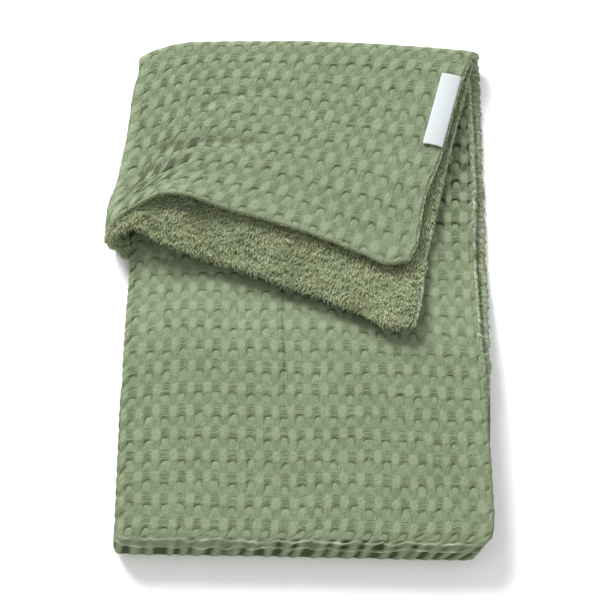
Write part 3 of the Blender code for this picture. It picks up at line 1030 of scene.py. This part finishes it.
def cloth_place(section, across, rows):
    """Side and share of a place in the weave; the inverse of weave_place."""
    cells = ACROSS_CELLS
    side = np.where(across < 0.0, across / cells["outer"],
                    np.where(across < cells["turn"], across / cells["turn"],
                             1.0 + (across - cells["turn"]) / cells["inner"]))
    outside = (1.0 + np.cos(np.pi * np.clip(side, 0.0, 1.0))) / 2.0
    top_rows = np.maximum(TOP_ROWS * outside, 1e-6)
    end_rows = np.maximum(FOLD_ROWS * (1.0 - outside), 1e-6)
    share = {"flap": 1.0 + (rows - ROWS_BEFORE_BODY + top_rows) / FLAP_ROWS,
             "top": 1.0 + (rows - ROWS_BEFORE_BODY) / top_rows,
             "body": (rows - ROWS_BEFORE_BODY) / BODY_ROWS,
             "bottom": (rows - ROWS_BEFORE_BODY - BODY_ROWS) / end_rows}[section]
    return side, share


def straightened(across, rows):
    """Where a place of the bent weave lies before the bending."""
    first = bends(across, rows)
    then = bends(across - first[0], rows - first[1])
    return across - then[0], rows - then[1]


def float_places(lanes, rows, facing):
    """Places in the weave along every crosswise and lengthwise float."""
    lane, row = [part.ravel() for part in np.meshgrid(lanes, rows, indexing="ij")]
    reach = np.array(FLOAT_REACH)
    bow = 1.0 - reach ** 2
    found = []
    for salt, steps, stray in FLOAT_KINDS:
        for number, step in enumerate(steps):
            kept = cell_chance(row, lane, salt + number) < FLOATS_KEPT
            shift = step + stray * (cell_chance(row, lane, salt + 10 + number) - 0.5)
            column, first, shift = lane[kept, None], row[kept, None], shift[kept, None]
            if steps is BRIDGE_FLOATS:
                across = column + 0.5 + BRIDGE_REACH * reach
                found.append((across, first + facing * (shift - BRIDGE_BOW * bow)))
            else:
                across = column + shift + 0.0 * reach
                found.append((across, first + 0.5 + STRIP_REACH * reach))
    return [np.concatenate(part) for part in zip(*found)]


def tubes(path, outward, radius):
    """Closed three-sided tubes along rows of points: points, quads and the triangles of their ends."""
    ahead = unit(np.gradient(path, axis=1))
    sideways = unit(np.cross(ahead, outward))
    up = np.cross(sideways, ahead)
    radius = np.broadcast_to(np.asarray(radius, dtype=float), path.shape[:2])[..., None]
    ring = [path + radius * (math.cos(turn) * up + math.sin(turn) * sideways)
            for turn in (0.0, 2 * math.pi / 3, 4 * math.pi / 3)]
    points = np.stack(ring, axis=2)
    count, steps = path.shape[:2]
    start = np.arange(count) * steps * 3
    end = start + (steps - 1) * 3
    quads = (start[:, None, None] + ring_faces(steps, 3)).reshape(-1, 4)
    low = np.stack([start, start + 2, start + 1], axis=1)
    high = np.stack([end, end + 1, end + 2], axis=1)
    return points.reshape(-1, 3), [quads, np.concatenate([low, high])]


def float_tubes(section, ply):
    """The yarn floats on one ply of a section: points, faces and weave heights."""
    outer = ply == "outer"
    lanes, facing = (np.arange(-20.0, 1.0), -1.0) if outer else (np.arange(1.0, 24.0), 1.0)
    across, rows = straightened(*float_places(lanes, np.arange(*FLOAT_ROWS[section]), facing))
    side, share = cloth_place(section, across, rows)
    middle = share[:, 2]
    fits = (middle > 0.0) & (middle < 1.0) & (side.min(axis=1) > -0.99) & (side.max(axis=1) < 1.99)
    fits &= (side[:, 2] < 0.6) == outer
    side, share = side[fits], np.clip(share[fits], 0.0, 1.0)
    clear = hem_distance(section, side, share).min(axis=1) > 1.2 * SIDE_SEAM
    if section == "bottom":
        clear &= share.max(axis=1) < FOLD_BAND[0]
    if section == "body":
        shown = side.max(axis=1) > 2.0 - SHOWN_CELLS / ACROSS_CELLS["inner"]
        clear &= (share.max(axis=1) > SEEN_FROM) | shown
    point, _, outward = waffle_face(section, side[clear], share[clear])
    path = above_floor(point + outward * np.array(FLOAT_RISE)[:, None], FLOAT_LOWEST)
    points, faces = tubes(path, outward, FLOAT_RADIUS)
    return points, faces, {"weave": np.full(len(points), FLOAT_HEIGHT / TALLEST)}


def make_floats(finish):
    """Yarn floats, in one mesh for the flap and one for the rest."""
    return [mesh_piece(name, *merged([float_tubes(section, ply) for section in sections]), finish)
            for name, sections, ply in FLOAT_PIECES]


HEM_ROLLS = (
    # sections, side of the edge, half width, half thickness, inset
    (("flap",), -1.0, 0.0015, 0.0015, 0.0000),
    (("top", "body", "bottom", "under"), -1.0, 0.0052, 0.0029, 0.0040),
    (("flap",), 2.0, 0.0020, 0.0019, 0.0004),
    (("top", "body", "bottom", "under"), 2.0, 0.0031, 0.0025, 0.0013),
)
ROLL_LENGTHS = {"flap": 0.25, "top": 0.052, "body": 0.55, "bottom": 0.052, "under": 0.16}
ROLL_STEP = 0.0011
ROLL_AROUND = 12
ROLL_PITCH = 0.0058
ROLL_DRIFT = 2.0
ROLL_TWIST = 0.9
ROLL_SHARP = 0.7
ROLL_LEVEL = 0.0042  # centre surface to the middle of the roll
ROLL_INWARD = 0.004  # step of the side that finds the way out of the edge
ROLL_SWELL = (0.80, 0.22, 0.34)
# Painted light: the rolled hems' colour is lifted to stand in for light where they lie in shade, with a
# painted highlight on each pucker's ridge and random flecks.
ROLL_PAINTED_LIGHT_AND_FLECKS = (0.80, 0.36, 0.36)
ROLL_END = 0.0012
SLIM_FROM = (0.38, 0.12)  # length along a long hem from which it is slim, and over which it becomes so
SLIM_BY = 0.85


def roll_frame(section, edge, share):
    """Points of the centre surface at a side edge, and unit directions out of the edge and the face."""
    inward = -ROLL_INWARD if edge > 0.0 else ROLL_INWARD
    base, outward = cloth(section, np.full(share.shape, edge), share)
    inner, _ = cloth(section, np.full(share.shape, edge + inward), share)
    return base, unit(base - inner), outward


def puckers(run, turn):
    """Swelling of a rolled hem from its slanting ridges and lumps, and its weave heights for colour, lifted
    by painted light, with painted highlights on the ridges and random flecks.
    """
    drift = ROLL_DRIFT * wander_along(run, 61, 0.012)
    phase = run[:, None] / ROLL_PITCH + ROLL_TWIST * np.sin(turn + 0.8) + drift[:, None]
    ridge = np.abs(np.sin(math.pi * phase)) ** ROLL_SHARP
    place, around = np.meshgrid(run, turn, indexing="ij")
    lumps = wander(place, 0.004 * around, 62, 0.0040)
    fleck = wander(place, 0.0011 * around, 63, 0.0016)
    return (ROLL_SWELL[0] + ROLL_SWELL[1] * ridge + ROLL_SWELL[2] * lumps,
            ROLL_PAINTED_LIGHT_AND_FLECKS[0] + ROLL_PAINTED_LIGHT_AND_FLECKS[1] * ridge + ROLL_PAINTED_LIGHT_AND_FLECKS[2] * fleck)


def hem_roll(sections, edge, half_wide, half_thick, inset):
    """A rolled hem with slanting puckers along one side edge: points, faces and weave heights."""
    found = []
    for section in sections:
        share = line(0.0, 1.0, ROLL_LENGTHS[section] / ROLL_STEP)
        found.append(roll_frame(section, edge, share if section == sections[-1] else share[:-1]))
    base, aside, outward = [np.concatenate(part) for part in zip(*found)]
    run = np.concatenate([[0.0], np.cumsum(np.linalg.norm(np.diff(base, axis=0), axis=1))])
    slimmed = ramp_up(run, *SLIM_FROM) if len(sections) > 1 else 0.0 * run
    slim = 1.0 - SLIM_BY * slimmed
    turn = 2 * math.pi * np.arange(ROLL_AROUND) / ROLL_AROUND
    swell, tone = puckers(run, turn)
    to_end = np.minimum(run, run[-1] - run) / ROLL_END
    swell = swell * np.sqrt(np.clip(to_end, 0.004, 1.0))[:, None]
    inward = inset + half_wide * (1.0 - slim)
    middle = base + outward * (ROLL_LEVEL * (1.0 - 0.5 * slimmed))[:, None] - aside * inward[:, None]
    wide = half_wide * slim[:, None] * swell * np.cos(turn)
    thick = half_thick * slim[:, None] * swell * np.sin(turn)
    points = middle[:, None] + aside[:, None] * wide[..., None] + outward[:, None] * thick[..., None]
    quads = ring_faces(len(run), ROLL_AROUND)
    faces = [quads[:, ::-1] if edge > 0.0 else quads]
    return above_floor(points).reshape(-1, 3), faces, {"weave": tone.ravel() / TALLEST}


def make_hems(finish):
    return mesh_piece("waffle_hems", *merged([hem_roll(*roll) for roll in HEM_ROLLS]), finish)


# Locks of pile; lengths and radii in metres, angles in degrees.
PILE_LUMPS = 60
PILE_LUMP = 0.0020
FLAP_MM = 330.0
LOCK_STEP = 0.002
LOCK_STEPS = (0.0, 0.38, 0.72, 1.0)
LOCK_TAPER = (0.75, 1.0, 0.80, 0.18)
LOCK_LENGTH = (0.0065, 0.0105)
LOCK_RADIUS = (0.00060, 0.00100)
LOCK_RAISED = (0.10, 0.28)
LOCK_CURL = (-0.22, 0.22)
LOCK_BENDS = (2.3, 3.6)
LOCK_ROOT = 0.0008  # depth of the roots
LOCK_FLAT = 0.85
LOCK_YAW = (24.0, 12.0)
LOCK_TONE = (0.5, 0.30, 0.13)
HEM_LOCKS = (0.6, 0.4)  # share of the length at the flap's hem, and what is added beyond
HEM_LOCKS_END = 0.04
LOCK_AREAS = (
    # piece, section, sides, shares, how many, comb towards: along the side, along the share; length
    ("teddy_front", "flap", (1.0, 2.0), (0.0, 0.42), 9500, (0.0, -1.0), 1.0),
    ("teddy_side", "flap", (1.80, 2.0), (0.42, 0.98), 2000, (0.4, -1.0), 0.9),
    ("teddy_side", "flap", (0.0, 1.0), (0.0, 0.25), 1400, (0.0, -1.0), 1.1),
    ("teddy_side", "flap", (0.0, 1.12), (0.0, 0.05), 1300, (0.0, -1.0), 1.75),
    ("teddy_side", "flap", (-0.13, 0.0), (0.0, 0.02), 800, (0.0, -1.0), 1.15),
    ("teddy_side", "flap", (-1.0, 0.0), (0.0, 0.03), 1100, (0.0, -1.0), 0.45),
    ("teddy_side", "flap", (-1.0, -0.975), (0.0, 1.0), 700, (-1.0, 0.0), 0.5),
    ("teddy_side", "body", (1.965, 1.992), (0.0, 0.50), 435, (1.0, 0.4), 0.5),
    ("teddy_side", "body", (-0.992, -0.965), (0.0, 0.55), 270, (-1.0, 0.4), 0.55),
)


def combed(section, side, share, comb, yaw):
    """Roots of locks, and unit directions up, the way they lie and across it, turned by the yaw."""
    root, _, up = teddy_points(section, side, share)
    rightward, ahead = [unit(move) for move in steps_along(teddy_points, section, side, share, LOCK_STEP)]
    comb = np.array(comb) / np.hypot(*comb)
    way = comb[0] * rightward + comb[1] * ahead
    way = np.cos(yaw)[:, None] * way + np.sin(yaw)[:, None] * np.cross(up, way)
    return root[:, None], up[:, None], way[:, None], np.cross(up, way)[:, None]


def locks(area, seed):
    """Curled locks of pile over one area: points, faces, and tone and distance along each lock."""
    _, section, sides, shares, count, comb, longer = area
    rng = np.random.default_rng(seed)
    side = rng.uniform(*sides, count)
    share = rng.uniform(*shares, count)
    place = (side * PLY_MM, share * FLAP_MM)
    yaw = np.radians(LOCK_YAW[0] * wander(*place, 51, 11.0) + LOCK_YAW[1] * rng.standard_normal(count))
    root, up, way, across = combed(section, side, share, comb, yaw)
    length = rng.uniform(*LOCK_LENGTH, count) * longer
    if section == "flap":
        length = length * vary(*HEM_LOCKS, smooth_step(share / HEM_LOCKS_END))
    length = length[:, None]
    raised = rng.uniform(*LOCK_RAISED, count)
    curl = rng.uniform(*LOCK_CURL, count)
    phase = rng.uniform(0.0, 1.0, count)
    step = np.array(LOCK_STEPS)
    rise = length * raised[:, None] * np.sin(step * LOCK_BENDS[0]) - LOCK_ROOT
    swing = length * curl[:, None] * np.sin(step * LOCK_BENDS[1] + phase[:, None])
    path = root + way * (length * step)[..., None] * LOCK_FLAT + up * rise[..., None]
    path = path + across * swing[..., None]
    wide = rng.uniform(*LOCK_RADIUS, count)[:, None] * np.array(LOCK_TAPER)
    points, faces = tubes(path, np.broadcast_to(up, path.shape), wide)
    tone = LOCK_TONE[0] + LOCK_TONE[1] * wander(*place, 52, 17.0)
    tone = tone + LOCK_TONE[2] * rng.standard_normal(count)
    # Distance along each lock, which sets its painted root shade and painted tip light.
    tip = np.tile(np.repeat(step, 3), count)
    return points, faces, {"tone": np.repeat(np.clip(tone, 0, 1), len(step) * 3), "tip": tip}


def make_locks(finish):
    pieces = []
    for name in ("teddy_front", "teddy_side"):
        parts = [locks(area, seed) for seed, area in enumerate(LOCK_AREAS, 1) if area[0] == name]
        points, faces, values = merged(parts)
        pieces.append(mesh_piece(name, above_floor(points), faces, values, finish))
    return pieces


# Label's bow, wave and narrower upper face, in metres, and its steps.
LABEL_BOW = 0.0014
LABEL_WAVE = 0.0003
LABEL_EDGE = 0.0004
LABEL_STEPS = 60
LABEL_ACROSS = 16


def label_face(up, left, level):
    """Points of one face of the label: bowed across its width, following the flap along its length."""
    tilt = math.radians(LABEL_TILT)
    x = LABEL_CORNER[0] + up * math.sin(tilt) - left * math.cos(tilt)
    y = LABEL_CORNER[1] + up * math.cos(tilt) + left * math.sin(tilt)
    base, out = centre("flap", x, y), normal("flap", x, y)
    bow = LABEL_BOW * (1.0 - (2.0 * left / LABEL_WIDTH - 1.0) ** 2)
    sag = LABEL_WAVE * np.sin(up / LABEL_LENGTH * 2.0 * math.pi)
    return base + out * (OUTER + GAP + level + bow + sag)[..., None]


def make_label(finish):
    """A closed tape whose upper face is a little narrower than its underside."""
    share = np.concatenate([line(0.0, 1.0, LABEL_ACROSS), line(1.0, 0.0, LABEL_ACROSS)])
    level = np.repeat((LABEL_THICK, 0.0), LABEL_ACROSS + 1)
    inset = np.where(level > 0.0, LABEL_EDGE * (1.0 - 2.0 * share), 0.0)
    up, left = np.meshgrid(line(0.0, LABEL_LENGTH, LABEL_STEPS), share * LABEL_WIDTH + inset, indexing="ij")
    points = label_face(up, left, level)
    rows, wide = up.shape
    half = wide // 2
    faces = [ring_faces(rows, wide)]
    for first, order in ((0, 1), ((rows - 1) * wide, -1)):
        top, low = first + np.arange(half), first + wide - 1 - np.arange(half)
        faces.append(np.stack([top[:-1], low[:-1], low[1:], top[1:]], axis=1)[:, ::order])
    return mesh_piece("label_tape", points.reshape(-1, 3), faces, {}, finish)


# Camera, floor and light.
CAMERA_ELEVATION = 61.0
CAMERA_DISTANCE = 2.15
CAMERA_LENS = 129.0
CAMERA_SENSOR = 36.0
FLOOR_HALF = 6
FLOOR_WHITE = 0.97
WORLD_LIGHT = 0.56
LIGHTS = (
    # name, place, power, size
    ("key", (-2.1, 3.4, 2.6), 385.0, 2.3),
    ("front", (1.2, -1.8, 2.2), 24.0, 1.6),
)


def make_camera():
    data = bpy.data.cameras.new("camera")
    data.lens = CAMERA_LENS
    data.sensor_width = CAMERA_SENSOR
    camera = placed("camera", data)
    tilt = math.radians(CAMERA_ELEVATION)
    x, y, _ = -PLAN_MIDDLE
    camera.location = (x, y - CAMERA_DISTANCE * math.cos(tilt), CAMERA_DISTANCE * math.sin(tilt))
    camera.rotation_euler = (math.pi / 2 - tilt, 0.0, 0.0)
    bpy.context.scene.camera = camera


def make_floor():
    finish, _, shader = principled("floor", 0.9)
    shader.inputs["Base Color"].default_value = (FLOOR_WHITE, FLOOR_WHITE, FLOOR_WHITE, 1.0)
    mesh = bpy.data.meshes.new("floor")
    corners = ((-1, -1), (1, -1), (1, 1), (-1, 1))
    mesh.from_pydata([(x * FLOOR_HALF, y * FLOOR_HALF, 0) for x, y in corners], [], [(0, 1, 2, 3)])
    mesh.materials.append(finish)
    floor = placed("floor", mesh)


def make_light():
    world = bpy.data.worlds.new("studio")
    world.use_nodes = True
    background = world.node_tree.nodes["Background"]
    background.inputs["Color"].default_value = (1.0, 1.0, 1.0, 1.0)
    background.inputs["Strength"].default_value = WORLD_LIGHT
    bpy.context.scene.world = world
    for name, place, power, size in LIGHTS:
        data = bpy.data.lights.new(name, "AREA")
        data.energy = power
        data.size = size
        lamp = placed(name, data)
        lamp.location = place
        away = np.array(place) / np.linalg.norm(place)
        lamp.rotation_euler = (math.acos(away[2]), 0.0, math.atan2(away[1], away[0]) + math.pi / 2)
    bpy.context.scene.view_settings.view_transform = "Standard"


make_camera()
make_floor()
make_light()
waffle_cotton = cotton()
teddy_pile = teddy_finish()
waffle = make_waffle(waffle_cotton)
floats = make_floats(waffle_cotton)
hems = make_hems(waffle_cotton)
teddy = make_teddy(teddy_pile)
pile = make_locks(teddy_pile)
label = make_label(label_finish())
for piece in waffle + floats + [hems, teddy, label] + pile:
    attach(piece, "root")
for piece in waffle + floats + [hems]:
    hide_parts("waffle_panel")
for piece in [teddy] + pile:
    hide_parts("teddy_panel")
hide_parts("label")
